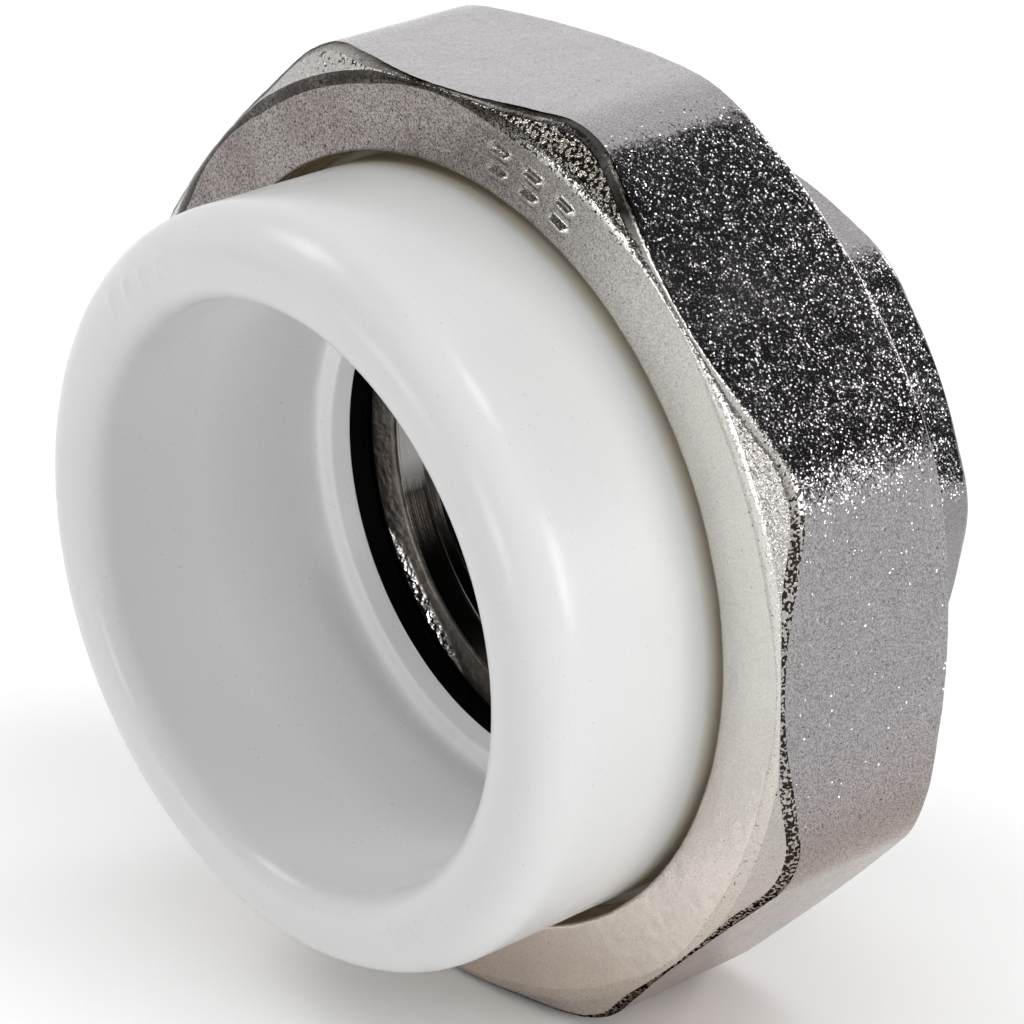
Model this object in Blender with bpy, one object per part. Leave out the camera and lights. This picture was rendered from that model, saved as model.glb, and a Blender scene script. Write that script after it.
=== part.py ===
"""A pipe union: a white plastic fusion socket, an octagonal nut, a flat gasket and a threaded metal tail.

The waterway runs along Y with the socket's mouth facing -Y, and the nut rests on one of its flats with +Z up.
The origin is on the axis, midway between the mouth and the far end of the tail. Lengths are in metres.
Stations along the axis are counted from the mouth, and station() turns one into a Y coordinate.
"""

import math

import bmesh
import bpy

OVERALL_LENGTH = 0.0524
EDGE = 0.0004
FINE_EDGE = 0.0003
SHARP_ANGLE = math.radians(24)

# Plastic socket for a 50 mm pipe
SOCKET_RADIUS = 0.03225
SOCKET_BORE_MOUTH = 0.0249
SOCKET_BORE_ROOT = 0.0245
SOCKET_STOP = 0.0249
SOCKET_NECK = 0.0228
SOCKET_FACE = 0.0272
SOCKET_OUTER_ROUND = 0.0046
SOCKET_INNER_ROUND = 0.0024
FLANGE_RADIUS = 0.0345
FLANGE_FRONT = 0.0225
FLANGE_REAR_CHAMFER = 0.0006
SOCKET_STEPS = 64

# Nut
NUT_FRONT = 0.0177
NUT_REAR = 0.0366
NUT_HALF_FLATS = 0.0397
NUT_CORNER_ROUND = 0.0101
NUT_FRONT_CIRCLE = 0.0393
NUT_FRONT_SLOPE = 1.44
NUT_REAR_CIRCLE = 0.0394
NUT_REAR_SLOPE = 1.34
NUT_HOLE = 0.03303
NUT_LIP = 0.0045
NUT_RELIEF = 0.0364
NUT_RELIEF_WIDTH = 0.0023
NUT_THREAD_START = 0.0038
NUT_ENTRY_CHAMFER = 0.0007

# Coupling thread, M72 x 2
COUPLING_PITCH = 0.002
COUPLING_NUT_ROOT = 0.03615
COUPLING_NUT_CREST = 0.03495
COUPLING_TAIL_ROOT = 0.0346
COUPLING_TAIL_CREST = 0.0358

# Gasket
GASKET_INNER = 0.0236
GASKET_OUTER = 0.0325
GASKET_FRONT = 0.02745
GASKET_REAR = 0.0298
GASKET_STEPS = 64

# Metal tail
TAIL_FRONT = 0.0301
TAIL_LEAD_CHAMFER = 0.001
TAIL_WATERWAY = 0.0214
TAIL_COLLAR_REAR = 0.0380
TAIL_BODY_FILLET = 0.0018
TAIL_HALF_FLATS = 0.02625
TAIL_CORNER_ROUND = 0.00775
TAIL_TURN = -27.5
TAIL_REAR_CIRCLE = 0.0261
TAIL_REAR_SLOPE = 2.2

# Female pipe thread, G 1 1/2
PIPE_PITCH = 0.002309
PIPE_ROOT = 0.0239
PIPE_CREST = 0.02242
PIPE_START = 0.0340

# Thread ridges: steps in one turn, crest width over pitch, flank slope, steps that fade out at each end
THREAD_STEPS = 36
CREST_SHARE = 0.1
FLANK_SLOPE = 0.5
FADE_STEPS = 4
RIDGE_SUNK = 0.0005
FADED_SUNK = 0.0002
OCTAGON_FLAT_STEPS = 5
OCTAGON_CORNER_STEPS = 4


def station(value):
    """The Y coordinate of a distance counted from the mouth."""
    return value - OVERALL_LENGTH / 2


def clear_scene():
    for item in list(bpy.data.objects):
        bpy.data.objects.remove(item, do_unlink=True)


def make_material(name, colour, roughness, metallic):
    material = bpy.data.materials.new(name)
    material.use_nodes = True
    shader = material.node_tree.nodes["Principled BSDF"]
    shader.inputs["Base Color"].default_value = (*colour, 1.0)
    shader.inputs["Roughness"].default_value = roughness
    shader.inputs["Metallic"].default_value = metallic
    return material


def octagon_angles(turn, half_flats, corner_round):
    """Angles round an octagon, with samples at the ends of every flat and along every rounded corner."""
    reach = math.atan2((half_flats - corner_round) * math.tan(math.pi / 8), half_flats)
    angles = []
    for side in range(8):
        middle = math.radians(turn) + side * math.pi / 4
        for step in range(OCTAGON_FLAT_STEPS):
            angles.append(middle - reach + 2 * reach * step / OCTAGON_FLAT_STEPS)
        gap = math.pi / 4 - 2 * reach
        for step in range(OCTAGON_CORNER_STEPS):
            angles.append(middle + reach + gap * step / OCTAGON_CORNER_STEPS)
    return angles


def octagon_radius(angle, turn, half_flats, corner_round):
    """Distance from the axis to a round-cornered octagon's side in one direction."""
    local = (angle - math.radians(turn) + math.pi / 8) % (math.pi / 4) - math.pi / 8
    flat = half_flats / math.cos(local)
    if flat * abs(math.sin(local)) <= (half_flats - corner_round) * math.tan(math.pi / 8):
        return flat
    centre = (half_flats - corner_round) / math.cos(math.pi / 8)
    away = math.pi / 8 - abs(local)
    return centre * math.cos(away) + math.sqrt(corner_round**2 - (centre * math.sin(away)) ** 2)


def arc(centre_r, centre_y, radius, start, end, steps):
    """Profile points (radius, station) along an arc, with angles in degrees from the radial direction."""
    points = []
    for step in range(steps + 1):
        angle = math.radians(start + (end - start) * step / steps)
        points.append((centre_r + radius * math.cos(angle), centre_y + radius * math.sin(angle)))
    return points


def ring_object(name, angles, profile_at, material):
    """A closed ring whose cross-section at each angle is the loop of (radius, station) points profile_at(angle)."""
    mesh = bpy.data.meshes.new(name)
    shape = bmesh.new()
    columns = []
    for angle in angles:
        column = []
        for radius, place in profile_at(angle):
            point = (radius * math.sin(angle), station(place), radius * math.cos(angle))
            column.append(shape.verts.new(point))
        columns.append(column)
    for index, column in enumerate(columns):
        other = columns[(index + 1) % len(columns)]
        for row in range(len(column)):
            below = (row + 1) % len(column)
            shape.faces.new((column[row], column[below], other[below], other[row]))
    finish_mesh(shape, mesh)
    return add_object(name, mesh, material)


def finish_mesh(shape, mesh):
    bmesh.ops.recalc_face_normals(shape, faces=shape.faces)
    if shape.calc_volume(signed=True) < 0:
        bmesh.ops.reverse_faces(shape, faces=shape.faces)
    shape.to_mesh(mesh)
    shape.free()
    mesh.shade_smooth()
    mesh.set_sharp_from_angle(angle=SHARP_ANGLE)


def add_object(name, mesh, material):
    item = bpy.data.objects.new(name, mesh)
    item.data.materials.append(material)
    bpy.context.scene.collection.objects.link(item)
    return item


def helix_ridge(name, root, crest, pitch, start, end, phase, material):
    """A right-handed thread ridge along +Y. Its base is sunk into the wall, and both ends fade into it.

    The nut's ridge and the tail's have the same phase and starts half a pitch apart, so they mesh.
    """
    outward = 1 if crest > root else -1
    depth = abs(crest - root)
    half_crest = CREST_SHARE * pitch
    half_root = half_crest + FLANK_SLOPE * depth
    half_base = half_root + FLANK_SLOPE * RIDGE_SUNK
    base = root - outward * RIDGE_SUNK
    count = int(round((end - start) / pitch * THREAD_STEPS))
    mesh = bpy.data.meshes.new(name)
    shape = bmesh.new()
    sections = []
    for step in range(count + 1):
        angle = phase + 2 * math.pi * step / THREAD_STEPS
        middle = station(start) + pitch * step / THREAD_STEPS
        height = min(1.0, min(step, count - step) / FADE_STEPS)
        top = root + outward * (depth * height - FADED_SUNK * (1 - height))
        half_top = half_crest + (half_root - half_crest) * (1 - height)
        corners = ((base, -half_base), (top, -half_top), (top, half_top), (base, half_base))
        section = []
        for radius, offset in corners:
            point = (radius * math.sin(angle), middle + offset, radius * math.cos(angle))
            section.append(shape.verts.new(point))
        sections.append(section)
    for first, second in zip(sections, sections[1:]):
        for row in range(4):
            nearby = (row + 1) % 4
            shape.faces.new((first[row], first[nearby], second[nearby], second[row]))
    shape.faces.new(sections[0])
    shape.faces.new(sections[-1])
    finish_mesh(shape, mesh)
    item = add_object(name, mesh, material)
    item.hide_render = True
    item.display_type = "WIRE"
    return item


def join_to(item, ridge):
    """Unites a thread ridge with the wall that carries it."""
    union = item.modifiers.new("thread_" + ridge.name, "BOOLEAN")
    union.operation = "UNION"
    union.solver = "EXACT"
    union.object = ridge


def build_socket(material):
    outer = SOCKET_OUTER_ROUND
    inner = SOCKET_INNER_ROUND
    stop_edge = 2 * FINE_EDGE
    chamfer = FLANGE_REAR_CHAMFER
    profile = arc(SOCKET_RADIUS - outer, outer, outer, -90, 0, 7)
    profile += [(SOCKET_RADIUS, FLANGE_FRONT - EDGE), (SOCKET_RADIUS + EDGE, FLANGE_FRONT)]
    profile += [(FLANGE_RADIUS - FINE_EDGE, FLANGE_FRONT), (FLANGE_RADIUS, FLANGE_FRONT + FINE_EDGE)]
    profile += [(FLANGE_RADIUS, SOCKET_FACE - chamfer), (FLANGE_RADIUS - chamfer, SOCKET_FACE)]
    profile += [(SOCKET_NECK + FINE_EDGE, SOCKET_FACE), (SOCKET_NECK, SOCKET_FACE - FINE_EDGE)]
    profile += [(SOCKET_NECK, SOCKET_STOP + FINE_EDGE), (SOCKET_NECK + FINE_EDGE, SOCKET_STOP)]
    profile += arc(SOCKET_BORE_ROOT - stop_edge, SOCKET_STOP - stop_edge, stop_edge, 90, 0, 3)
    profile += arc(SOCKET_BORE_MOUTH + inner, inner, inner, 180, 270, 5)
    angles = [2 * math.pi * step / SOCKET_STEPS for step in range(SOCKET_STEPS)]
    return ring_object("socket_end", angles, lambda angle: profile, material)


def build_nut(material):
    lip = NUT_FRONT + NUT_LIP
    entry = NUT_ENTRY_CHAMFER
    inside = [(COUPLING_NUT_ROOT + entry, NUT_REAR), (COUPLING_NUT_ROOT, NUT_REAR - entry)]
    inside += [(COUPLING_NUT_ROOT, lip + NUT_RELIEF_WIDTH + FINE_EDGE)]
    inside += [(NUT_RELIEF, lip + NUT_RELIEF_WIDTH), (NUT_RELIEF, lip + FINE_EDGE)]
    inside += [(NUT_RELIEF - FINE_EDGE, lip), (NUT_HOLE + FINE_EDGE, lip)]
    inside += [(NUT_HOLE, lip - FINE_EDGE), (NUT_HOLE, NUT_FRONT + EDGE)]
    inside += [(NUT_HOLE + EDGE, NUT_FRONT)]

    def profile_at(angle):
        side = octagon_radius(angle, 0.0, NUT_HALF_FLATS, NUT_CORNER_ROUND)
        front = NUT_FRONT + (side - NUT_FRONT_CIRCLE) / NUT_FRONT_SLOPE
        rear = NUT_REAR - (side - NUT_REAR_CIRCLE) / NUT_REAR_SLOPE
        outside = [(NUT_FRONT_CIRCLE, NUT_FRONT), (side, front)]
        outside += [(side, rear), (NUT_REAR_CIRCLE, NUT_REAR)]
        return outside + inside

    angles = octagon_angles(0.0, NUT_HALF_FLATS, NUT_CORNER_ROUND)
    nut = ring_object("union_nut", angles, profile_at, material)
    ridge = helix_ridge(
        "nut_thread",
        COUPLING_NUT_ROOT,
        COUPLING_NUT_CREST,
        COUPLING_PITCH,
        lip + NUT_THREAD_START,
        NUT_REAR - COUPLING_PITCH,
        math.pi,
        material,
    )
    join_to(nut, ridge)
    return nut


def build_gasket(material):
    edge = FINE_EDGE
    profile = [(GASKET_OUTER - edge, GASKET_FRONT), (GASKET_OUTER, GASKET_FRONT + edge)]
    profile += [(GASKET_OUTER, GASKET_REAR - edge), (GASKET_OUTER - edge, GASKET_REAR)]
    profile += [(GASKET_INNER + edge, GASKET_REAR), (GASKET_INNER, GASKET_REAR - edge)]
    profile += [(GASKET_INNER, GASKET_FRONT + edge), (GASKET_INNER + edge, GASKET_FRONT)]
    angles = [2 * math.pi * step / GASKET_STEPS for step in range(GASKET_STEPS)]
    return ring_object("sealing_gasket", angles, lambda angle: profile, material)


def build_tail(material):
    lead = TAIL_LEAD_CHAMFER
    root = COUPLING_TAIL_ROOT
    front = [(TAIL_WATERWAY + EDGE, TAIL_FRONT), (root - lead, TAIL_FRONT), (root, TAIL_FRONT + lead)]
    front += [(root, TAIL_COLLAR_REAR - EDGE), (root - EDGE, TAIL_COLLAR_REAR)]
    inside = [(PIPE_ROOT + EDGE, OVERALL_LENGTH), (PIPE_ROOT, OVERALL_LENGTH - EDGE)]
    inside += [(PIPE_ROOT, PIPE_START + EDGE), (PIPE_ROOT - EDGE, PIPE_START)]
    inside += [(TAIL_WATERWAY + EDGE, PIPE_START), (TAIL_WATERWAY, PIPE_START - EDGE)]
    inside += [(TAIL_WATERWAY, TAIL_FRONT + EDGE)]

    def profile_at(angle):
        side = octagon_radius(angle, TAIL_TURN, TAIL_HALF_FLATS, TAIL_CORNER_ROUND)
        rear = OVERALL_LENGTH - (side - TAIL_REAR_CIRCLE) / TAIL_REAR_SLOPE
        fillet = TAIL_BODY_FILLET
        outside = arc(side + fillet, TAIL_COLLAR_REAR + fillet, fillet, 270, 180, 4)
        outside += [(side, rear), (TAIL_REAR_CIRCLE, OVERALL_LENGTH)]
        return front + outside + inside

    angles = octagon_angles(TAIL_TURN, TAIL_HALF_FLATS, TAIL_CORNER_ROUND)
    tail = ring_object("threaded_tail", angles, profile_at, material)
    nut_thread_start = NUT_FRONT + NUT_LIP + NUT_THREAD_START
    coupling = helix_ridge(
        "tail_thread",
        COUPLING_TAIL_ROOT,
        COUPLING_TAIL_CREST,
        COUPLING_PITCH,
        nut_thread_start + 2.5 * COUPLING_PITCH,
        TAIL_COLLAR_REAR - COUPLING_PITCH / 2,
        math.pi,
        material,
    )
    join_to(tail, coupling)
    pipe = helix_ridge(
        "pipe_thread",
        PIPE_ROOT,
        PIPE_CREST,
        PIPE_PITCH,
        PIPE_START + PIPE_PITCH,
        OVERALL_LENGTH - 0.7 * PIPE_PITCH,
        0.0,
        material,
    )
    join_to(tail, pipe)
    return tail


def main():
    clear_scene()
    plastic = make_material("white_plastic", (0.86, 0.86, 0.85), 0.22, 0.0)
    plating = make_material("blasted_plating", (0.62, 0.60, 0.58), 0.38, 1.0)
    rubber = make_material("black_rubber", (0.02, 0.02, 0.02), 0.6, 0.0)
    tail_plating = make_material("tail_plating", (0.60, 0.58, 0.56), 0.30, 1.0)
    build_socket(plastic)
    build_nut(plating)
    build_gasket(rubber)
    build_tail(tail_plating)


main()
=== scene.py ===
"""Looks for a pipe union: white plastic fusion socket, blasted octagonal nut, gasket and metal tail.

Everything is in metres in the frame of the CAD model: the waterway runs along Y with the socket's mouth
facing -Y, and +Z is up. Stations are distances from the mouth along the axis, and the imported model's boxes
give the outer sizes that the detailed pieces follow.
"""

import math

import bpy
import numpy as np
from mathutils import Matrix, Vector, noise


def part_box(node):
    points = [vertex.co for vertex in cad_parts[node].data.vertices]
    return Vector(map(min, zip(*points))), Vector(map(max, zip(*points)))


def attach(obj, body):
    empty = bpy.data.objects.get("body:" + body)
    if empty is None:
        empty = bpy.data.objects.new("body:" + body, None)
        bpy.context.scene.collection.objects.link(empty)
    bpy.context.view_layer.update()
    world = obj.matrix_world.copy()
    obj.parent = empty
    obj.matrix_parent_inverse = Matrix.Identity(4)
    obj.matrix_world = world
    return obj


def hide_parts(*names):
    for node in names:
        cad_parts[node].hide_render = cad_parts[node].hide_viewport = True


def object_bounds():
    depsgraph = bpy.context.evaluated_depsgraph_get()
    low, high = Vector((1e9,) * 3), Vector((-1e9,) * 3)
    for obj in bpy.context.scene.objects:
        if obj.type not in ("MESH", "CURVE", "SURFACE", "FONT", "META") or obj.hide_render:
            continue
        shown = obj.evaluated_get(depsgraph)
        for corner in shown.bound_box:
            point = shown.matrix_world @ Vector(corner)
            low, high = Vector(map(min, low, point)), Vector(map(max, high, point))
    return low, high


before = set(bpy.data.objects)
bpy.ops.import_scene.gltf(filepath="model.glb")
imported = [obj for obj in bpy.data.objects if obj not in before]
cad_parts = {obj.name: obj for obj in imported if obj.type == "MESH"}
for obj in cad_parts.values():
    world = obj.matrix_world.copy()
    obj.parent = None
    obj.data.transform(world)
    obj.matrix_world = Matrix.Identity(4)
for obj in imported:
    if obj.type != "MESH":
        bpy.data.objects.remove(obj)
cad_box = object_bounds()

MM = 0.001
MOUTH = cad_box[0].y
LENGTH = cad_box[1].y - cad_box[0].y
FULL_TURN = 2 * math.pi
SMALL_ROUND = 0.15 * MM

# Directions, seen from the mouth
UP = (0, 0, 1)
DOWN = (0, 0, -1)
RIGHT = (1, 0, 0)
INWARD = (0, 1, 0)
UPPER_LEFT = (-0.6, 0, 0.8)
UPPER_RIGHT = (0.9, 0, 0.4)
LOWER_RIGHT = (0.7, 0, -0.7)
BELOW_RIGHT = (0.4, 0, -0.9)
LOWER_LEFT = (-0.76, 0, -0.65)
TOP_WEDGE = (math.sin(math.radians(12)), 0, math.cos(math.radians(12)))

nut_low, nut_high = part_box("union_nut")
socket_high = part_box("socket_end")[1]
gasket_low, gasket_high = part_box("sealing_gasket")

# Socket, with the turns of its rim's marks in degrees
SOCKET_COLUMNS = 640
SOCKET_RADIUS = 32.25 * MM
SOCKET_BORE_MOUTH = 24.9 * MM
SOCKET_BORE_ROOT = 24.5 * MM
SOCKET_STOP = 24.9 * MM
SOCKET_NECK = 22.8 * MM
SOCKET_FACE = socket_high.y - MOUTH
SOCKET_OUTER_ROUND = 4.6 * MM
SOCKET_INNER_ROUND = 2.4 * MM
FLANGE_RADIUS = socket_high.x
FLANGE_FRONT = 22.5 * MM
RIM_MARK_HEIGHT = 0.20 * MM
UPPER_RIM_MARKS = (-44, -38.5, -33, -27.5)
LOWER_RIM_MARKS = (137, 143, 149)

# Nut, with the turns of its face's marks in degrees
NUT_COLUMNS = 896
NUT_FRONT = nut_low.y - MOUTH
NUT_REAR = nut_high.y - MOUTH
NUT_HALF_FLATS = nut_high.z
NUT_CORNER_ROUND = 10.1 * MM
NUT_FRONT_CIRCLE = 39.3 * MM
NUT_FRONT_SLOPE = 1.44
NUT_REAR_CIRCLE = 39.4 * MM
NUT_REAR_SLOPE = 1.34
NUT_HOLE = 33.03 * MM
NUT_LIP = NUT_FRONT + 4.5 * MM
NUT_RELIEF = 36.4 * MM
NUT_MARK_HEIGHT = 0.5 * MM
NUT_MARKS = (13, 19, 25)
NUT_MARK_MIDDLES = (36.9 * MM, 35.1 * MM)

# Coupling thread
COUPLING_PITCH = 2 * MM
COUPLING_NUT_ROOT = 36.15 * MM
COUPLING_NUT_CREST = 34.95 * MM
COUPLING_TAIL_ROOT = 34.6 * MM
COUPLING_TAIL_CREST = 35.8 * MM
NUT_THREAD_START = NUT_LIP + 3.8 * MM

# Gasket
GASKET_COLUMNS = 256
GASKET_INNER = 23.6 * MM
GASKET_OUTER = gasket_high.x

# Tail
TAIL_COLUMNS = 640
TAIL_FRONT = 30.1 * MM
TAIL_WATERWAY = 21.4 * MM
TAIL_COLLAR_REAR = 38.0 * MM
TAIL_HALF_FLATS = 26.25 * MM
TAIL_CORNER_ROUND = 7.75 * MM
TAIL_TURN = math.radians(-27.5)
TAIL_REAR_CIRCLE = 26.1 * MM
TAIL_REAR_SLOPE = 2.2

# Pipe thread in the tail
PIPE_PITCH = 2.309 * MM
PIPE_ROOT = 23.9 * MM
PIPE_CREST = 22.42 * MM
PIPE_START = 34.0 * MM

# Plating grain
SAND_GRAIN = 0.16 * MM
SAND_SHADE = (0.36, 0.34, 0.33)
FACET_SIZE = 0.13 * MM
# Colour of the dark pitting, which is also painted shade where the pitting crowds
PIT_AND_SHADE_COLOUR = (0.03, 0.022, 0.018)


# ---------------------------------------------------------------- geometry


def octagon(angles, turn, half_flats, corner_round):
    """Distance from the axis to a round-cornered octagon's side, for an array of angles."""
    eighth = math.pi / 8
    local = (angles - turn + eighth) % (math.pi / 4) - eighth
    flat = half_flats / np.cos(local)
    on_flat = flat * np.abs(np.sin(local)) <= (half_flats - corner_round) * math.tan(eighth)
    centre = (half_flats - corner_round) / math.cos(eighth)
    away = eighth - np.abs(local)
    reach = np.sqrt(np.maximum(corner_round**2 - (centre * np.sin(away)) ** 2, 0))
    return np.where(on_flat, flat, centre * np.cos(away) + reach)


def section(corners, columns):
    """A closed loop of (radius, station) rows, one value for each column, from a list of corners.

    A corner is (radius, station, round, steps, tag): round is how far its rounding reaches along both
    sides, steps is the number of spans on the straight side that follows it, and tag names that side. A
    sixth value names the rounding itself, where it has a tag of its own.
    """
    points = [
        np.array([np.broadcast_to(c[0], columns), np.broadcast_to(c[1], columns)]) for c in corners
    ]
    count = len(corners)
    starts, ends = [], []
    for index, corner in enumerate(corners):
        here = points[index]
        before = points[index - 1] - here
        after = points[(index + 1) % count] - here
        size_before = np.maximum(np.hypot(*before), 1e-9)
        size_after = np.maximum(np.hypot(*after), 1e-9)
        cut = np.minimum(corner[2], 0.45 * np.minimum(size_before, size_after))
        starts.append(here + before / size_before * cut)
        ends.append(here + after / size_after * cut)
    rows, tags = [], []
    for index, corner in enumerate(corners):
        if corner[2] == 0:
            arc_steps = 0
        elif corner[2] > SMALL_ROUND:
            arc_steps = 4
        else:
            arc_steps = 2
        for step in range(arc_steps):
            s = step / arc_steps
            here = (1 - s) ** 2 * starts[index] + 2 * s * (1 - s) * points[index] + s**2 * ends[index]
            rows.append(here)
            tags.append(corner[-1])
        target = starts[(index + 1) % count]
        for step in range(corner[3]):
            rows.append(ends[index] + (target - ends[index]) * step / corner[3])
            tags.append(corner[4])
    rows = np.array(rows)
    return rows[:, 0, :], rows[:, 1, :], tags


def add_thread(radius, place, angles, root, crest, pitch, start, end, phase):
    """Raises a right-handed ridge on the rows of a bore or collar that lie at the thread's root.

    The ridge rises and runs out over a sixth of a pitch at its two ends.
    """
    depth = abs(crest - root)
    outward = 1 if crest > root else -1
    half_crest = 0.1 * pitch
    half_root = half_crest + 0.5 * depth
    turns = (place - start) / pitch - (angles[None, :] - phase) / FULL_TURN
    away = (turns - np.round(turns)) * pitch
    middle = place - away
    height = np.clip((half_root - np.abs(away)) / (half_root - half_crest), 0, 1)
    height = height * np.clip((middle - start) / pitch * 6, 0, 1)
    height = height * np.clip((end - middle) / pitch * 6, 0, 1)
    on_root = np.abs(radius - root) < 0.03 * MM
    return np.where(on_root, radius + outward * depth * height, radius)


def ring_mesh(name, radius, place, angles, tags, slots):
    """A closed ring mesh from arrays [row, column].

    slots maps a row's tag to its material slot's index, and any other tag takes the first slot.
    """
    rows, columns = radius.shape
    points = np.stack(
        [radius * np.sin(angles)[None, :], place + MOUTH, radius * np.cos(angles)[None, :]], axis=2
    ).reshape(-1, 3)
    row = np.arange(rows)[:, None]
    column = np.arange(columns)[None, :]
    below = (row + 1) % rows
    beside = (column + 1) % columns
    quads = np.stack(
        [
            row * columns + column,
            row * columns + beside,
            below * columns + beside,
            below * columns + column,
        ],
        axis=2,
    ).reshape(-1, 4)
    mesh = bpy.data.meshes.new(name)
    mesh.vertices.add(len(points))
    mesh.vertices.foreach_set("co", points.astype(np.float32).ravel())
    mesh.loops.add(quads.size)
    mesh.loops.foreach_set("vertex_index", quads.astype(np.int32).ravel())
    mesh.polygons.add(len(quads))
    mesh.polygons.foreach_set("loop_start", np.arange(0, quads.size, 4, dtype=np.int32))
    index = np.repeat([slots.get(tag, 0) for tag in tags], columns)
    mesh.polygons.foreach_set("material_index", index.astype(np.int32))
    mesh.update(calc_edges=True)
    mesh.validate()
    return mesh


def surface_normals(mesh):
    normals = np.empty(len(mesh.vertices) * 3, np.float32)
    mesh.vertices.foreach_get("normal", normals)
    return normals.reshape(-1, 3)


def vertex_points(mesh):
    points = np.empty(len(mesh.vertices) * 3, np.float32)
    mesh.vertices.foreach_get("co", points)
    return points.reshape(-1, 3)


def coherent_noise(points, feature, seed):
    """Smooth noise between about -1 and 1 at each point, with bumps about feature metres wide."""
    offset = Vector((seed * 7.3, seed * 3.1, seed * 5.7))
    scale = 1 / feature
    return np.array([noise.noise(Vector(point) * scale + offset) for point in points.tolist()])


def cast_relief(points, height, seed):
    """A blasted casting's relief: lumps 1 mm wide over lumps 4 mm wide, each about height metres high."""
    fine = coherent_noise(points, 1 * MM, seed)
    wide = coherent_noise(points, 4 * MM, seed + 1)
    return height * fine + height * wide


def raised_bars(points, turns, middle, half_reach, half_width, fall=0.28 * MM):
    """Heights from 0 to 1 of plain raised bars, centred middle metres from the axis at turns from the top.

    turns are in degrees, half_reach is half a bar's size toward the axis, half_width half its size round
    the axis, and fall how wide its sloping border is.
    """
    angle = np.arctan2(points[:, 0], points[:, 2])
    reach = np.hypot(points[:, 0], points[:, 2])
    height = np.zeros(len(points))
    for turn in turns:
        across = (angle - math.radians(turn)) * reach
        outside = np.maximum(np.abs(across) - half_width, 0) ** 2
        outside = outside + np.maximum(np.abs(reach - middle) - half_reach, 0) ** 2
        height = np.maximum(height, np.exp(-outside / fall**2))
    return height


def push(mesh, amounts):
    """Moves each vertex along its normal."""
    points = vertex_points(mesh) + surface_normals(mesh) * amounts[:, None]
    mesh.vertices.foreach_set("co", points.astype(np.float32).ravel())
    mesh.update()


def finish_piece(name, mesh, body, node, materials):
    """Links a piece, shades it smooth, and makes it stand for its CAD node."""
    item = bpy.data.objects.new(name, mesh)
    bpy.context.scene.collection.objects.link(item)
    for material in materials:
        mesh.materials.append(material)
    mesh.shade_smooth()
    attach(item, body)
    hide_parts(node)
    return item


def even_angles(columns):
    return np.arange(columns) * FULL_TURN / columns


# ---------------------------------------------------------------- materials


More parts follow.
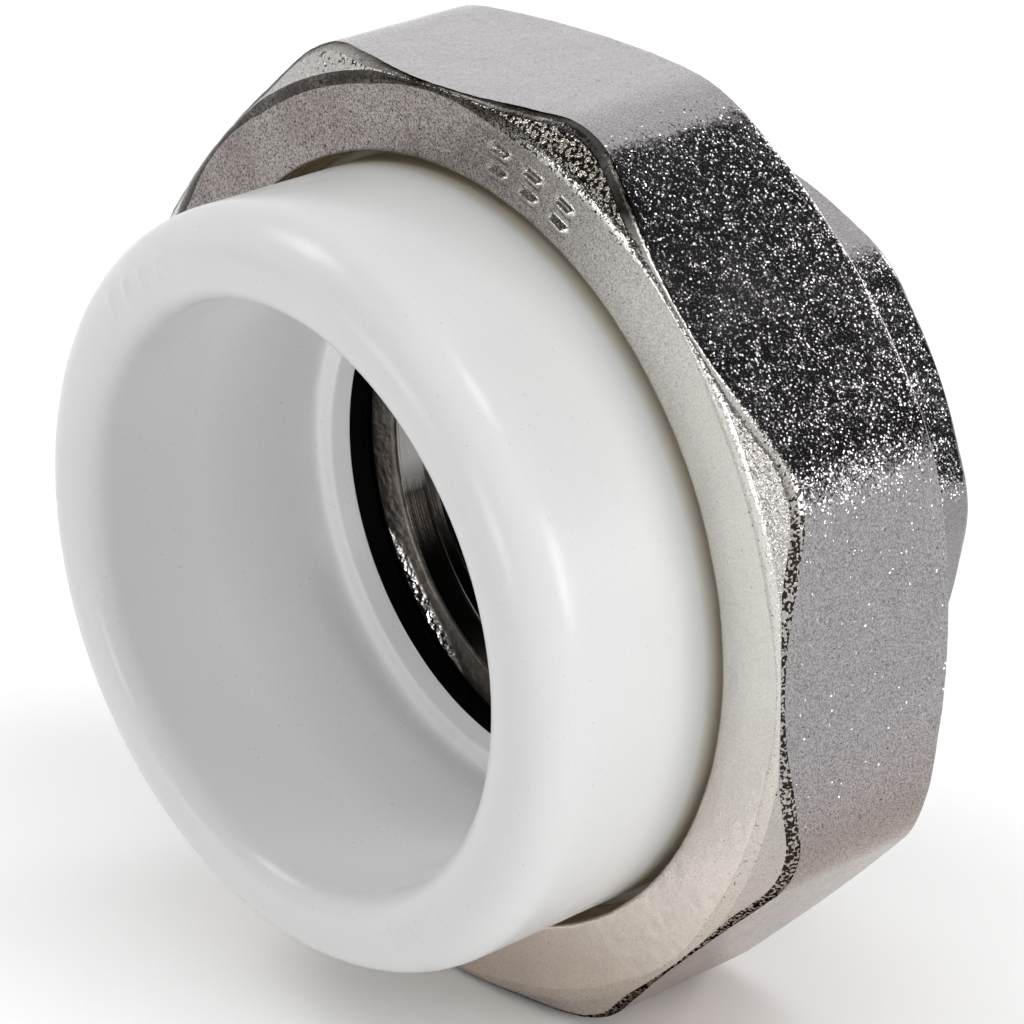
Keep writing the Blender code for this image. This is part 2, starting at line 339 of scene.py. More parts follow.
class Nodes:
    """Short calls for building one material's node tree."""

    def __init__(self, name):
        self.material = bpy.data.materials.new(name)
        self.material.use_nodes = True
        self.tree = self.material.node_tree
        self.shader = self.tree.nodes["Principled BSDF"]
        self.coordinates = self.add("ShaderNodeTexCoord").outputs["Object"]

    def add(self, kind, **settings):
        node = self.tree.nodes.new(kind)
        for key, value in settings.items():
            setattr(node, key, value)
        return node

    def link(self, source, target):
        self.tree.links.new(source, target)

    def set(self, **values):
        for key, value in values.items():
            self.shader.inputs[key.replace("_", " ")].default_value = value

    def noise(self, feature, detail=2.0, rough=0.5):
        """Noise with bumps about feature metres wide."""
        node = self.add("ShaderNodeTexNoise")
        node.inputs["Scale"].default_value = 1 / feature
        node.inputs["Detail"].default_value = detail
        node.inputs["Roughness"].default_value = rough
        self.link(self.coordinates, node.inputs["Vector"])
        return node.outputs["Fac"]

    def range(self, value, low_in, high_in, low_out, high_out):
        """The value moved from one range to another and held inside it."""
        node = self.add("ShaderNodeMapRange")
        for key, number in (
            ("From Min", low_in),
            ("From Max", high_in),
            ("To Min", low_out),
            ("To Max", high_out),
        ):
            node.inputs[key].default_value = number
        self.link(value, node.inputs["Value"])
        return node.outputs["Result"]

    def maths(self, operation, first, second):
        node = self.add("ShaderNodeMath", operation=operation)
        for socket, value in zip(node.inputs, (first, second)):
            if isinstance(value, (int, float)):
                socket.default_value = value
            else:
                self.link(value, socket)
        return node.outputs["Value"]

    def mix(self, factor, first, second, blend="MIX"):
        """A colour between two colours, or their product; each may be a tuple or a socket."""
        node = self.add("ShaderNodeMix", data_type="RGBA", blend_type=blend)
        self.link(factor, node.inputs["Factor"])
        for index, value in ((6, first), (7, second)):
            if isinstance(value, tuple):
                node.inputs[index].default_value = (*value, 1.0)
            else:
                self.link(value, node.inputs[index])
        return node.outputs[2]

    def bump(self, height, distance, strength=1.0, normal=None):
        node = self.add("ShaderNodeBump")
        node.inputs["Distance"].default_value = distance
        node.inputs["Strength"].default_value = strength
        self.link(height, node.inputs["Height"])
        if normal is not None:
            self.link(normal, node.inputs["Normal"])
        return node.outputs["Normal"]

    def along(self, direction):
        """Distance of a point from the origin along a direction."""
        node = self.add("ShaderNodeVectorMath", operation="DOT_PRODUCT")
        self.link(self.coordinates, node.inputs[0])
        node.inputs[1].default_value = direction
        return node.outputs["Value"]

    def ramp(self, direction, start, end, low, high):
        """A value that goes from low to high as a point goes from start to end along a direction."""
        return self.range(self.along(direction), start, end, low, high)

    def reach(self):
        """Distance of a point from the Y axis."""
        flat = self.add("ShaderNodeVectorMath", operation="MULTIPLY")
        self.link(self.coordinates, flat.inputs[0])
        flat.inputs[1].default_value = (1, 0, 1)
        length = self.add("ShaderNodeVectorMath", operation="LENGTH")
        self.link(flat.outputs["Vector"], length.inputs[0])
        return length.outputs["Value"]

    def facets(self, normal, feature, tilt):
        """Tilts the normal its own way in each cell: most cells a little, and a few by about tilt."""
        cell = self.add("ShaderNodeTexVoronoi", feature="F1")
        cell.inputs["Scale"].default_value = 1 / feature
        self.link(self.coordinates, cell.inputs["Vector"])
        centred = self.add("ShaderNodeVectorMath", operation="SUBTRACT")
        self.link(cell.outputs["Color"], centred.inputs[0])
        centred.inputs[1].default_value = (0.5, 0.5, 0.5)
        length = self.add("ShaderNodeVectorMath", operation="LENGTH")
        self.link(centred.outputs["Vector"], length.inputs[0])
        # The cube of a cell's length leaves most cells nearly level, and the cap holds the few that lean
        share = self.maths("MULTIPLY", self.maths("POWER", length.outputs["Value"], 3.0), 3.4)
        share = self.maths("MULTIPLY", self.maths("MINIMUM", share, 1.6), tilt)
        lean = self.add("ShaderNodeVectorMath", operation="SCALE")
        self.link(centred.outputs["Vector"], lean.inputs[0])
        self.link(share, lean.inputs["Scale"])
        total = self.add("ShaderNodeVectorMath", operation="ADD")
        self.link(normal, total.inputs[0])
        self.link(lean.outputs["Vector"], total.inputs[1])
        unit = self.add("ShaderNodeVectorMath", operation="NORMALIZE")
        self.link(total.outputs["Vector"], unit.inputs[0])
        return unit.outputs["Vector"]

    def into(self, **sources):
        for key, source in sources.items():
            self.link(source, self.shader.inputs[key.replace("_", " ")])
        return self.material


def plastic_material(name, inner=False):
    """White polypropylene: glossy, with flow marks and fine specks, and a painted shade, darker and warmer,
    against the nut.

    The inner side is painted lighter with depth and lighter still at the stop: painted light for the light
    that comes through the thin wall.
    """
    nodes = Nodes(name)
    nodes.set(Metallic=0.0, IOR=1.49, Specular_IOR_Level=0.32)
    flow = nodes.noise(9 * MM, 3.0, 0.5)
    specks = nodes.range(nodes.noise(0.3 * MM, 1.0, 0.5), 0.71, 0.78, 0.0, 0.4)
    clean = nodes.mix(flow, (0.60, 0.605, 0.605), (0.63, 0.63, 0.625))
    if inner:
        # Painted light: lighter with depth and at the stop, for light coming through the thin wall
        depth = nodes.ramp(INWARD, MOUTH + 1 * MM, MOUTH + 12 * MM, 0.0, 0.9)
        clean = nodes.mix(depth, clean, (0.85, 0.85, 0.85))
        end = nodes.ramp(INWARD, MOUTH + SOCKET_STOP - 1 * MM, MOUTH + SOCKET_STOP, 0.0, 0.9)
        clean = nodes.mix(end, clean, (0.94, 0.94, 0.94))
    else:
        # Painted shade: darker and warmer next to the nut, for the nut's shadow and its warm reflection
        shade = nodes.ramp(INWARD, MOUTH + 16.8 * MM, MOUTH + NUT_FRONT, 0.0, 0.6)
        clean = nodes.mix(shade, clean, (0.42, 0.37, 0.25))
    colour = nodes.mix(specks, clean, (0.40, 0.40, 0.39))
    rough = nodes.range(nodes.noise(3 * MM, 3.0, 0.6), 0.35, 0.65, 0.20, 0.26)
    waves = nodes.bump(nodes.noise(5 * MM, 2.0, 0.5), 0.05 * MM, 0.5)
    grain = nodes.bump(nodes.noise(0.5 * MM, 2.0, 0.5), 0.005 * MM, 0.7, waves)
    return nodes.into(Base_Color=colour, Roughness=rough, Normal=grain)


def blasted_material(
    name, light, low, side, pits_and_shade, sand, pebble, tilt, feature=0.26 * MM, rough=0.15, graze=1.0
):
    """Nickel plating over blasted brass: facets, each tilted its own way, over pebbles with dark pitting and
    painted shade.

    light is the plating's colour. low and side are (colour, direction, start, end): the plating takes
    that colour along that direction; in every look these two carry painted light: shade, reflection and
    highlight. The fifth argument is (direction, start, end, fewest, most): how much dark pitting crowds
    along that direction, real dents whose crowding is painted shade. sand is how far the fine grain
    darkens the plating at the same two ends, which adds to that painted shade. pebble is the pebbles'
    height, tilt the facets' slopes on most of the piece and at its right-hand side, feature the size of
    pebbles and pitting, and graze how much a grazing view brightens the plating.
    """
    nodes = Nodes(name)
    nodes.set(Metallic=1.0, Specular_Tint=(graze, graze, graze, 1.0))
    patches = nodes.noise(5 * MM, 3.0, 0.55)
    clean = light
    # Painted shade, painted reflection and painted highlight, laid on along the given directions
    for colour, direction, start, end in (low, side):
        clean = nodes.mix(nodes.ramp(direction, start, end, 0.0, 1.0), clean, colour)
    stains = nodes.range(patches, 0.35, 0.75, 0.0, 0.25)
    clean = nodes.mix(stains, clean, tuple(0.8 * value for value in light))
    # Fine grain, darkening more towards one end, where it adds to the painted shade
    specks = nodes.range(nodes.noise(SAND_GRAIN, 2.0, 0.6), 0.40, 0.62, 0.0, 1.0)
    specks = nodes.maths("MULTIPLY", specks, nodes.ramp(*pits_and_shade[:3], *sand))
    clean = nodes.mix(specks, clean, SAND_SHADE, "MULTIPLY")
    # Dark pitting: real dents, crowded along a direction where the crowding is painted shade
    crowded = nodes.maths("ADD", nodes.noise(feature, 1.0, 0.5), nodes.ramp(*pits_and_shade))
    pit_and_shade_mask = nodes.range(crowded, 0.66, 0.73, 0.0, 1.0)
    colour = nodes.mix(pit_and_shade_mask, clean, PIT_AND_SHADE_COLOUR)
    gloss = nodes.range(patches, 0.3, 0.7, rough - 0.03, rough + 0.03)
    swell = nodes.bump(patches, 0.2 * MM, 0.25)
    dents = nodes.bump(pit_and_shade_mask, -0.03 * MM, 0.7, swell)
    pebbled = nodes.bump(nodes.noise(feature, 2.0, 0.5), pebble, 1.0, dents)
    steepest = nodes.ramp(RIGHT, 30 * MM, 38 * MM, *tilt)
    facets = nodes.facets(pebbled, FACET_SIZE, steepest)
    return nodes.into(Base_Color=colour, Roughness=gloss, Normal=facets)


def seat_shade_and_highlight_material():
    """The tail's front edge: brown plating painted dark for shade, with one painted highlight, a beaded
    streak low on its left.
    """
    nodes = Nodes("tail_seat_look")
    nodes.set(Metallic=1.0)
    beads = nodes.noise(0.55 * MM, 1.0, 0.4)
    side = nodes.ramp(LOWER_LEFT, 22.0 * MM, 23.2 * MM, 0.0, 1.0)
    outer = nodes.range(nodes.reach(), 22.3 * MM, 22.6 * MM, 0.0, 1.0)
    # Painted highlight: a bright beaded streak low on the left, where the edge would mirror the bright mouth
    bright = nodes.maths("MULTIPLY", nodes.range(beads, 0.30, 0.42, 0.0, 1.0), side)
    bright = nodes.maths("MULTIPLY", bright, outer)
    # Painted shade: the edge's dark brown stands for the shade and dark reflections inside the fitting
    seat_shade = nodes.mix(nodes.noise(1.5 * MM, 3.0, 0.6), (0.08, 0.068, 0.058), (0.20, 0.18, 0.165))
    colour = nodes.mix(bright, seat_shade, (0.92, 0.91, 0.89))
    rough = nodes.range(bright, 0.0, 1.0, 0.34, 0.12)
    relief = nodes.maths("MULTIPLY", beads, nodes.range(bright, 0.0, 1.0, 0.2, 1.0))
    return nodes.into(Base_Color=colour, Roughness=rough, Normal=nodes.bump(relief, 0.32 * MM, 1.0))


def turned_material(name, light, dark, rough, painted_top_reflection=None):
    """Machined plating: fine tool rings round the axis, with slight tarnish.

    light and dark are its colours, rough its least and most roughness, and the last argument a painted
    reflection: a lighter colour near the top.
    """
    nodes = Nodes(name)
    nodes.set(Metallic=1.0)
    tarnish = nodes.noise(2.5 * MM, 3.0, 0.6)
    colour = nodes.mix(nodes.range(tarnish, 0.4, 0.7, 0.0, 1.0), light, dark)
    if painted_top_reflection is not None:
        # Painted reflection: lighter towards the top
        colour = nodes.mix(nodes.ramp(UP, -6 * MM, -3 * MM, 0.0, 1.0), colour, painted_top_reflection)
    gloss = nodes.range(tarnish, 0.3, 0.7, *rough)
    rings = nodes.add("ShaderNodeCombineXYZ")
    nodes.link(nodes.reach(), rings.inputs["X"])
    nodes.link(nodes.along(INWARD), rings.inputs["Y"])
    grooves = nodes.add("ShaderNodeTexNoise", noise_dimensions="3D")
    grooves.inputs["Scale"].default_value = 1 / (0.22 * MM)
    grooves.inputs["Detail"].default_value = 2.0
    nodes.link(rings.outputs["Vector"], grooves.inputs["Vector"])
    tool = nodes.bump(grooves.outputs["Fac"], 0.02 * MM, 0.8)
    fine = nodes.bump(nodes.noise(0.3 * MM, 2.0, 0.6), 0.012 * MM, 0.8, tool)
    return nodes.into(Base_Color=colour, Roughness=gloss, Normal=fine)


def rubber_material():
    """Black gasket rubber with a dusty bloom and a fine moulded grain."""
    nodes = Nodes("gasket_rubber_look")
    nodes.set(Metallic=0.0, IOR=1.5, Specular_IOR_Level=0.03)
    bloom = nodes.noise(1.2 * MM, 3.0, 0.6)
    dust = nodes.range(bloom, 0.45, 0.75, 0.0, 1.0)
    colour = nodes.mix(dust, (0.001, 0.001, 0.001), (0.004, 0.004, 0.004))
    rough = nodes.range(bloom, 0.3, 0.7, 0.45, 0.65)
    grain = nodes.bump(nodes.noise(0.25 * MM, 2.0, 0.5), 0.02 * MM, 0.7)
    return nodes.into(Base_Color=colour, Roughness=rough, Normal=grain)


def nut_materials():
    """The nut's materials, in the order of its slots."""
    flat = blasted_material(
        "nut_flat_look",
        light=(0.44, 0.425, 0.435),
        # Painted reflection of the shaded floor: darker and warmer towards the lower right
        low=((0.43, 0.325, 0.275), LOWER_RIGHT, 31 * MM, 39 * MM),
        # Painted shade: darker towards the right-hand flats
        side=((0.41, 0.392, 0.40), UPPER_RIGHT, 26 * MM, 36 * MM),
        pits_and_shade=(RIGHT, 0.0, 38 * MM, -0.10, -0.04),
        sand=(0.35, 0.75),
        pebble=0.014 * MM,
        tilt=(0.32, 0.42),
    )
    turned = turned_material("nut_thread_look", (0.62, 0.60, 0.57), (0.45, 0.42, 0.38), (0.2, 0.35))
    wall = turned_material("nut_wall_look", (0.85, 0.72, 0.50), (0.60, 0.47, 0.28), (0.3, 0.45))
    chamfer = blasted_material(
        "nut_chamfer_look",
        light=(0.52, 0.50, 0.48),
        # Painted reflection: warmer and lighter towards the bottom
        low=((0.62, 0.53, 0.46), DOWN, 6 * MM, 30 * MM),
        # Painted highlight: much lighter near the top corner
        side=((0.85, 0.80, 0.72), TOP_WEDGE, 35.5 * MM, 38 * MM),
        # Painted shade: dark pitting crowds near the top corner
        pits_and_shade=(TOP_WEDGE, 32 * MM, 38 * MM, -0.05, 0.22),
        sand=(0.3, 0.5),
        pebble=0.11 * MM,
        tilt=(0.35, 0.15),
        feature=0.30 * MM,
    )
    face = blasted_material(
        "nut_face_look",
        light=(0.86, 0.835, 0.79),
        # Painted reflection of the shaded floor: darker and warmer towards the bottom
        low=((0.74, 0.63, 0.54), DOWN, 0.0, 34 * MM),
        # Painted shade: much darker towards the top left
        side=((0.30, 0.27, 0.26), UPPER_LEFT, 8 * MM, 26 * MM),
        # Painted shade: dark pitting crowds, and the grain darkens more, towards the top left
        pits_and_shade=(UPPER_LEFT, -4 * MM, 24 * MM, -0.09, 0.02),
        sand=(0.22, 0.95),
        pebble=0.016 * MM,
        tilt=(0.11, 0.11),
        feature=0.19 * MM,
        rough=0.23,
    )
    edge = blasted_material(
        "nut_edge_look",
        light=(0.50, 0.48, 0.46),
        # Painted reflection: warmer towards the bottom
        low=((0.60, 0.50, 0.43), DOWN, 6 * MM, 30 * MM),
        # Painted shade: nearly black towards the top corner
        side=((0.012, 0.010, 0.008), TOP_WEDGE, 35.5 * MM, 38 * MM),
        # Painted shade: dark pitting crowds towards the bottom, slightly right
        pits_and_shade=(BELOW_RIGHT, -8 * MM, 5 * MM, -0.08, 0.22),
        sand=(0.3, 0.6),
        pebble=0.04 * MM,
        tilt=(0.12, 0.12),
        feature=0.30 * MM,
        graze=0.1,
    )
    brow = blasted_material(
        "nut_brow_look",
        light=(0.70, 0.68, 0.64),
        # Painted reflection: warmer and darker towards the bottom
        low=((0.66, 0.57, 0.49), DOWN, 0.0, 30 * MM),
        # Painted shade: nearly black towards the top left
        side=((0.03, 0.022, 0.018), UPPER_LEFT, 20 * MM, 27 * MM),
        # Painted shade: dark pitting crowds towards the top left
        pits_and_shade=(UPPER_LEFT, 4 * MM, 24 * MM, -0.03, 0.16),
        sand=(0.3, 0.6),
        pebble=0.04 * MM,
        tilt=(0.10, 0.10),
    )
    return [flat, turned, wall, chamfer, face, edge, brow]


def tail_materials():
    """The tail's materials, in the order of its slots."""
    flat = blasted_material(
        "tail_flat_look",
        light=(0.42, 0.405, 0.415),
        # Painted reflection of the shaded floor: darker and warmer towards the bottom
        low=((0.40, 0.36, 0.34), DOWN, 0.0, 26 * MM),
        # Painted shade: darker on the right-hand flats
        side=((0.30, 0.29, 0.30), RIGHT, 22 * MM, 26 * MM),
        pits_and_shade=(UP, 0.0, 26 * MM, -0.08, -0.04),
        sand=(0.5, 0.5),
        pebble=0.02 * MM,
        tilt=(0.32, 0.32),
    )
    turned = turned_material("tail_end_look", (0.62, 0.60, 0.57), (0.45, 0.42, 0.38), (0.14, 0.26))
    # Painted shade: the bore's near-black colours stand for the shade deep in the waterway
    bore = turned_material(
        "tail_bore_look",
        (0.02, 0.017, 0.015),
        (0.008, 0.007, 0.006),
        (0.16, 0.26),
        painted_top_reflection=(0.26, 0.25, 0.24),
    )
    return [flat, turned, bore, seat_shade_and_highlight_material()]


# ---------------------------------------------------------------- pieces


def quarter_round(radius, place, size, first_turn, steps, tag):
    """Corners along a quarter circle of the given size about (radius, place), from a turn in degrees."""
    corners = []
    for step in range(steps + 1):
        turn = math.radians(first_turn + 90 * step / steps)
        corners.append((radius + size * math.cos(turn), place + size * math.sin(turn), 0.0, 1, tag))
    return corners


def make_socket():
    """The white socket, with plain bars where the rim has moulded marks."""
    angles = even_angles(SOCKET_COLUMNS)
    flat_out = SOCKET_RADIUS - SOCKET_OUTER_ROUND
    corners = quarter_round(
        flat_out, SOCKET_OUTER_ROUND, SOCKET_OUTER_ROUND, first_turn=-90, steps=12, tag="rim"
    )
    corners[-1] = (*corners[-1][:3], 30, "side")
    corners += [
        (SOCKET_RADIUS, FLANGE_FRONT, 0.4 * MM, 3, "flange"),
        (FLANGE_RADIUS, FLANGE_FRONT, 0.3 * MM, 6, "flange"),
        (FLANGE_RADIUS, SOCKET_FACE, 0.6 * MM, 12, "face"),
        (SOCKET_NECK, SOCKET_FACE, 0.3 * MM, 4, "neck"),
        (SOCKET_NECK, SOCKET_STOP, 0.35 * MM, 3, "stop"),
        (SOCKET_BORE_ROOT, SOCKET_STOP, 0.6 * MM, 40, "bore"),
    ]
    mouth_centre = SOCKET_BORE_MOUTH + SOCKET_INNER_ROUND
    corners += quarter_round(
        mouth_centre, SOCKET_INNER_ROUND, SOCKET_INNER_ROUND, first_turn=180, steps=8, tag="mouth"
    )
    radius, place, tags = section(corners, len(angles))
    slots = {"bore": 1, "mouth": 1, "stop": 1, "neck": 1}
    mesh = ring_mesh("socket_end_look", radius, place, angles, tags, slots)
    push(mesh, 0.03 * MM * coherent_noise(vertex_points(mesh), 14 * MM, 1) - 0.02 * MM)
    points = vertex_points(mesh)
    front = np.where(points[:, 1] < MOUTH + SOCKET_OUTER_ROUND, 1.0, 0.0)
    marks = raised_bars(
        points, UPPER_RIM_MARKS, middle=28.3 * MM, half_reach=0.7 * MM, half_width=0.22 * MM
    )
    marks = marks + raised_bars(
        points, LOWER_RIM_MARKS, middle=27.9 * MM, half_reach=0.8 * MM, half_width=0.25 * MM
    )
    push(mesh, RIM_MARK_HEIGHT * front * marks)
    materials = [plastic_material("outer_plastic_look"), plastic_material("inner_plastic_look", True)]
    return finish_piece("plastic_socket", mesh, "socket", "socket_end", materials)


def raise_nut_marks(mesh, smooth_points, tags):
    """Raises plain dashes on the nut's front face. smooth_points are its vertices before blasting."""
    on_face = np.repeat([tag == "face" for tag in tags], NUT_COLUMNS)
    marks = sum(
        raised_bars(
            smooth_points,
            NUT_MARKS,
            middle,
            half_reach=0.15 * MM,
            half_width=0.85 * MM,
            fall=0.24 * MM,
        )
        for middle in NUT_MARK_MIDDLES
    )
    points = vertex_points(mesh)
    points[:, 1] -= np.where(on_face, NUT_MARK_HEIGHT * marks, 0.0)
    mesh.vertices.foreach_set("co", points.astype(np.float32).ravel())
    mesh.update()


def make_nut():
    """The octagonal nut: a blasted outside, a turned lip and a threaded inside."""
    angles = even_angles(NUT_COLUMNS)
    side = octagon(angles, 0.0, NUT_HALF_FLATS, NUT_CORNER_ROUND)
    front = NUT_FRONT + (side - NUT_FRONT_CIRCLE) / NUT_FRONT_SLOPE
    rear = NUT_REAR - (side - NUT_REAR_CIRCLE) / NUT_REAR_SLOPE
    corners = [
        (NUT_HOLE, NUT_FRONT, 0.4 * MM, 22, "face"),
        (NUT_FRONT_CIRCLE, NUT_FRONT, 0.6 * MM, 8, "chamfer", "brow"),
        (side, front, 0.7 * MM, 34, "flat", "edge"),
        (side, rear, 0.12 * MM, 6, "chamfer", "flat"),
        (NUT_REAR_CIRCLE, NUT_REAR, 0.3 * MM, 5, "rear"),
        (COUPLING_NUT_ROOT + 0.7 * MM, NUT_REAR, 0.2 * MM, 1, "inside"),
        (COUPLING_NUT_ROOT, NUT_REAR - 0.7 * MM, 0.0, 72, "inside"),
        (COUPLING_NUT_ROOT, NUT_LIP + 2.6 * MM, 0.0, 1, "inside"),
        (NUT_RELIEF, NUT_LIP + 2.3 * MM, 0.1 * MM, 2, "inside"),
        (NUT_RELIEF, NUT_LIP, 0.3 * MM, 3, "inside"),
        (NUT_HOLE, NUT_LIP, 0.3 * MM, 4, "wall"),
    ]
    radius, place, tags = section(corners, len(angles))
    radius = add_thread(
        radius,
        place,
        angles,
        root=COUPLING_NUT_ROOT,
        crest=COUPLING_NUT_CREST,
        pitch=COUPLING_PITCH,
        start=NUT_THREAD_START,
        end=NUT_REAR - COUPLING_PITCH,
        phase=math.pi,
    )
    slots = {"inside": 1, "wall": 2, "chamfer": 3, "face": 4, "edge": 5, "brow": 6}
    mesh = ring_mesh("union_nut_look", radius, place, angles, tags, slots)
    blasted = ("face", "brow", "chamfer", "edge", "flat", "rear")
    cast = np.repeat([tag in blasted for tag in tags], len(angles))
    smooth_points = vertex_points(mesh)
    relief = cast_relief(smooth_points, 0.03 * MM, 2)
    push(mesh, np.where(cast, relief - 0.07 * MM, 0.0))
    raise_nut_marks(mesh, smooth_points, tags)
    return finish_piece("coupling_nut", mesh, "nut", "union_nut", nut_materials())


def make_gasket():
    """The flat rubber ring between the two halves."""
    angles = even_angles(GASKET_COLUMNS)
    front = gasket_low.y - MOUTH
    rear = gasket_high.y - MOUTH
    corners = [
        (GASKET_INNER, front, 0.25 * MM, 14, "front"),
        (GASKET_OUTER, front, 0.3 * MM, 4, "outer"),
        (GASKET_OUTER, rear, 0.3 * MM, 14, "rear"),
        (GASKET_INNER, rear, 0.25 * MM, 6, "inner"),
    ]
    radius, place, tags = section(corners, len(angles))
    mesh = ring_mesh("sealing_gasket_look", radius, place, angles, tags, {})
    push(mesh, 0.03 * MM * coherent_noise(vertex_points(mesh), 2.5 * MM, 4) - 0.03 * MM)
    materials = [rubber_material()]
    return finish_piece("flat_gasket", mesh, "tail", "sealing_gasket", materials)


def make_tail():
    """The metal tail: a threaded collar, and a blasted octagonal body with a pipe thread inside."""
    angles = even_angles(TAIL_COLUMNS)
    side = octagon(angles, TAIL_TURN, TAIL_HALF_FLATS, TAIL_CORNER_ROUND)
    rear = LENGTH - (side - TAIL_REAR_CIRCLE) / TAIL_REAR_SLOPE
    corners = [
        (TAIL_WATERWAY, TAIL_FRONT + 0.8 * MM, 0.3 * MM, 16, "seat"),
        (GASKET_INNER - 0.1 * MM, TAIL_FRONT, 0.1 * MM, 10, "machined"),
        (COUPLING_TAIL_ROOT, TAIL_FRONT, 0.9 * MM, 1, "machined"),
        (COUPLING_TAIL_ROOT, TAIL_FRONT + 1.0 * MM, 0.0, 44, "machined"),
        (COUPLING_TAIL_ROOT, TAIL_COLLAR_REAR - 0.4 * MM, 0.0, 1, "machined"),
        (COUPLING_TAIL_ROOT - 0.4 * MM, TAIL_COLLAR_REAR, 0.2 * MM, 10, "cast"),
        (side, TAIL_COLLAR_REAR, 1.8 * MM, 22, "cast"),
        (side, rear, 0.5 * MM, 4, "cast"),
        (TAIL_REAR_CIRCLE, LENGTH, 0.3 * MM, 3, "end"),
        (PIPE_ROOT + 0.4 * MM, LENGTH, 0.1 * MM, 1, "thread"),
        (PIPE_ROOT, LENGTH - 0.4 * MM, 0.0, 96, "thread"),
        (PIPE_ROOT, PIPE_START, 0.0, 3, "thread"),
        (TAIL_WATERWAY, PIPE_START, 0.4 * MM, 6, "thread"),
    ]
    radius, place, tags = section(corners, len(angles))
    radius = add_thread(
        radius,
        place,
        angles,
        root=COUPLING_TAIL_ROOT,
        crest=COUPLING_TAIL_CREST,
        pitch=COUPLING_PITCH,
        start=NUT_THREAD_START + 2.5 * COUPLING_PITCH,
        end=TAIL_COLLAR_REAR - COUPLING_PITCH / 2,
        phase=math.pi,
    )
    radius = add_thread(
        radius,
        place,
        angles,
        root=PIPE_ROOT,
        crest=PIPE_CREST,
        pitch=PIPE_PITCH,
        start=PIPE_START + PIPE_PITCH,
        end=LENGTH - 0.7 * PIPE_PITCH,
        phase=0.0,
    )
    slots = {"machined": 1, "end": 1, "thread": 2, "seat": 3}
    mesh = ring_mesh("threaded_tail_look", radius, place, angles, tags, slots)
    cast = np.repeat([tag == "cast" for tag in tags], len(angles))
    relief = cast_relief(vertex_points(mesh), 0.04 * MM, 5)
    push(mesh, np.where(cast, relief - 0.06 * MM, 0.0))
    return finish_piece("metal_tail", mesh, "tail", "threaded_tail", tail_materials())


# ---------------------------------------------------------------- studio


def make_camera():
    """A long lens that looks down at the socket's mouth from its right."""
    azimuth, elevation, roll = math.radians(48.63), math.radians(23.69), math.radians(-0.84)
    distance = 0.3598
    aim_station, aim_right, aim_up = 19.06 * MM, 4.93 * MM, 2.33 * MM
    back = Vector(
        (
            math.sin(azimuth) * math.cos(elevation),
            -math.cos(azimuth) * math.cos(elevation),
            math.sin(elevation),
        )
    )
    level = Vector((math.cos(azimuth), math.sin(azimuth), 0))
    right = Matrix.Rotation(roll, 3, back) @ level
    up = back.cross(right)
    target = Vector((0, MOUTH + aim_station, 0)) + right * aim_right + up * aim_up
    data = bpy.data.cameras.new("camera")
    data.lens = 153.3
    data.sensor_width = 36
    data.clip_start = 0.01
    data.clip_end = 20
    camera = bpy.data.objects.new("camera", data)
    bpy.context.scene.collection.objects.link(camera)
    basis = Matrix((right, up, back)).transposed().to_4x4()
    camera.matrix_world = Matrix.Translation(target + back * distance) @ basis
    bpy.context.scene.camera = camera


def make_floor():
    """A pale paper floor just under the nut's lowest flat."""
    size = 4.0
    gap = 0.2 * MM
    mesh = bpy.data.meshes.new("floor")
    level = cad_box[0].z - gap
    corners = [(-size, -size, level), (size, -size, level), (size, size, level), (-size, size, level)]
    mesh.from_pydata(corners, [], [(0, 1, 2, 3)])
    floor = bpy.data.objects.new("floor", mesh)
    bpy.context.scene.collection.objects.link(floor)
    nodes = Nodes("floor_paper")
    nodes.set(Roughness=0.9, Specular_IOR_Level=0.1)
    shade = nodes.mix(nodes.noise(30 * MM, 2.0, 0.5), (0.95, 0.95, 0.95), (0.97, 0.97, 0.97))
    mesh.materials.append(nodes.into(Base_Color=shade))


def world_maths(tree, operation, first, second):
    """A maths node in the world's tree, between two sockets or numbers."""
    node = tree.nodes.new("ShaderNodeMath")
    node.operation = operation
    for socket, value in zip(node.inputs, (first, second)):
        if isinstance(value, float):
            socket.default_value = value
        else:
            tree.links.new(value, socket)
    return node.outputs["Value"]


def panel_strength(tree, direction, aim, reach, soft, strength):
    """Strength of one soft-edged round panel: reach and soft, its border, are angles in degrees."""
    dot = tree.nodes.new("ShaderNodeVectorMath")
    dot.operation = "DOT_PRODUCT"
    dot.inputs[1].default_value = Vector(aim).normalized()
    tree.links.new(direction, dot.inputs[0])
    fade = tree.nodes.new("ShaderNodeMapRange")
    fade.interpolation_type = "SMOOTHSTEP"
    fade.inputs["From Min"].default_value = math.cos(math.radians(reach))
    fade.inputs["From Max"].default_value = math.cos(math.radians(reach - soft))
    fade.inputs["To Min"].default_value = 0.0
    fade.inputs["To Max"].default_value = strength
    tree.links.new(dot.outputs["Value"], fade.inputs["Value"])
    return fade.outputs["Result"]


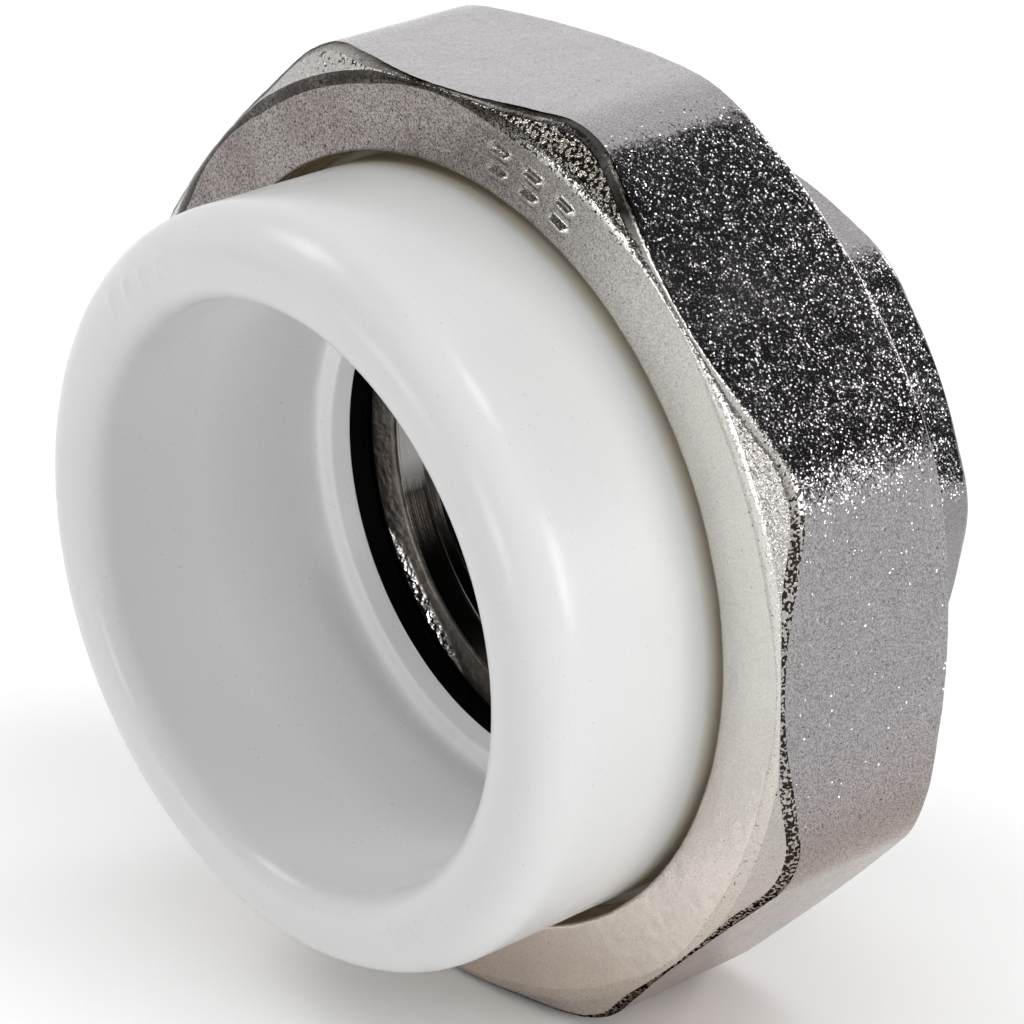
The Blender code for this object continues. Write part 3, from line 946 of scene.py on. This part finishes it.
def make_world():
    """A white studio tent with dark openings and bright panels, which the camera sees as plain white.

    Each opening or panel is a direction, a reach, a soft border and a strength, as in panel_strength.
    """
    world = bpy.data.worlds.new("studio")
    bpy.context.scene.world = world
    world.use_nodes = True
    tree = world.node_tree
    background = tree.nodes["Background"]
    direction = tree.nodes.new("ShaderNodeTexCoord").outputs["Generated"]
    dark_openings = [
        ((0.56, 0.60, 0.56), 36, 8, -1.0),
        ((-0.31, -0.80, 0.50), 21, 7, -0.97),
        ((-0.72, -0.69, 0.08), 13, 5, -0.97),
        ((0.25, -0.93, 0.25), 30, 8, -0.8),
        ((-0.30, -0.25, 0.92), 20, 8, -0.9),
    ]
    bright_panels = [
        ((-0.69, 0.60, 0.40), 22, 14, 0.12),
        ((0.24, -0.96, 0.12), 11, 5, 5.5),
        ((-0.42, -0.90, 0.08), 8, 4, 4.0),
        ((0.90, 0.38, 0.20), 15, 6, 8.0),
        ((0.44, 0.17, 0.88), 11, 5, 7.0),
        ((0.14, 0.88, 0.45), 11, 5, 7.0),
    ]
    level = 1.0
    for panel in dark_openings + bright_panels:
        level = world_maths(tree, "ADD", level, panel_strength(tree, direction, *panel))
    level = world_maths(tree, "MAXIMUM", level, 0.01)
    seen = tree.nodes.new("ShaderNodeLightPath").outputs["Is Camera Ray"]
    plain = tree.nodes.new("ShaderNodeMix")
    tree.links.new(seen, plain.inputs["Factor"])
    tree.links.new(level, plain.inputs[2])
    plain.inputs[3].default_value = 1.0
    tree.links.new(plain.outputs[0], background.inputs["Strength"])
    background.inputs["Color"].default_value = (1.0, 1.0, 1.0, 1.0)


def make_lights():
    """Two soft square lights that face the fitting: name, place, size and power."""
    for name, place, size, energy in (
        ("side_light", (0.9, 0.0, 0.60), 0.5, 0.5),
        ("front_light", (-0.75, -0.35, 1.0), 0.4, 3.0),
    ):
        data = bpy.data.lights.new(name, "AREA")
        data.size = size
        data.energy = energy
        light = bpy.data.objects.new(name, data)
        bpy.context.scene.collection.objects.link(light)
        light.location = place
        light.rotation_euler = (-Vector(place)).to_track_quat("-Z", "Y").to_euler()


make_socket()
make_nut()
make_gasket()
make_tail()
make_camera()
make_floor()
make_world()
make_lights()
bpy.context.scene.view_settings.view_transform = "Standard"
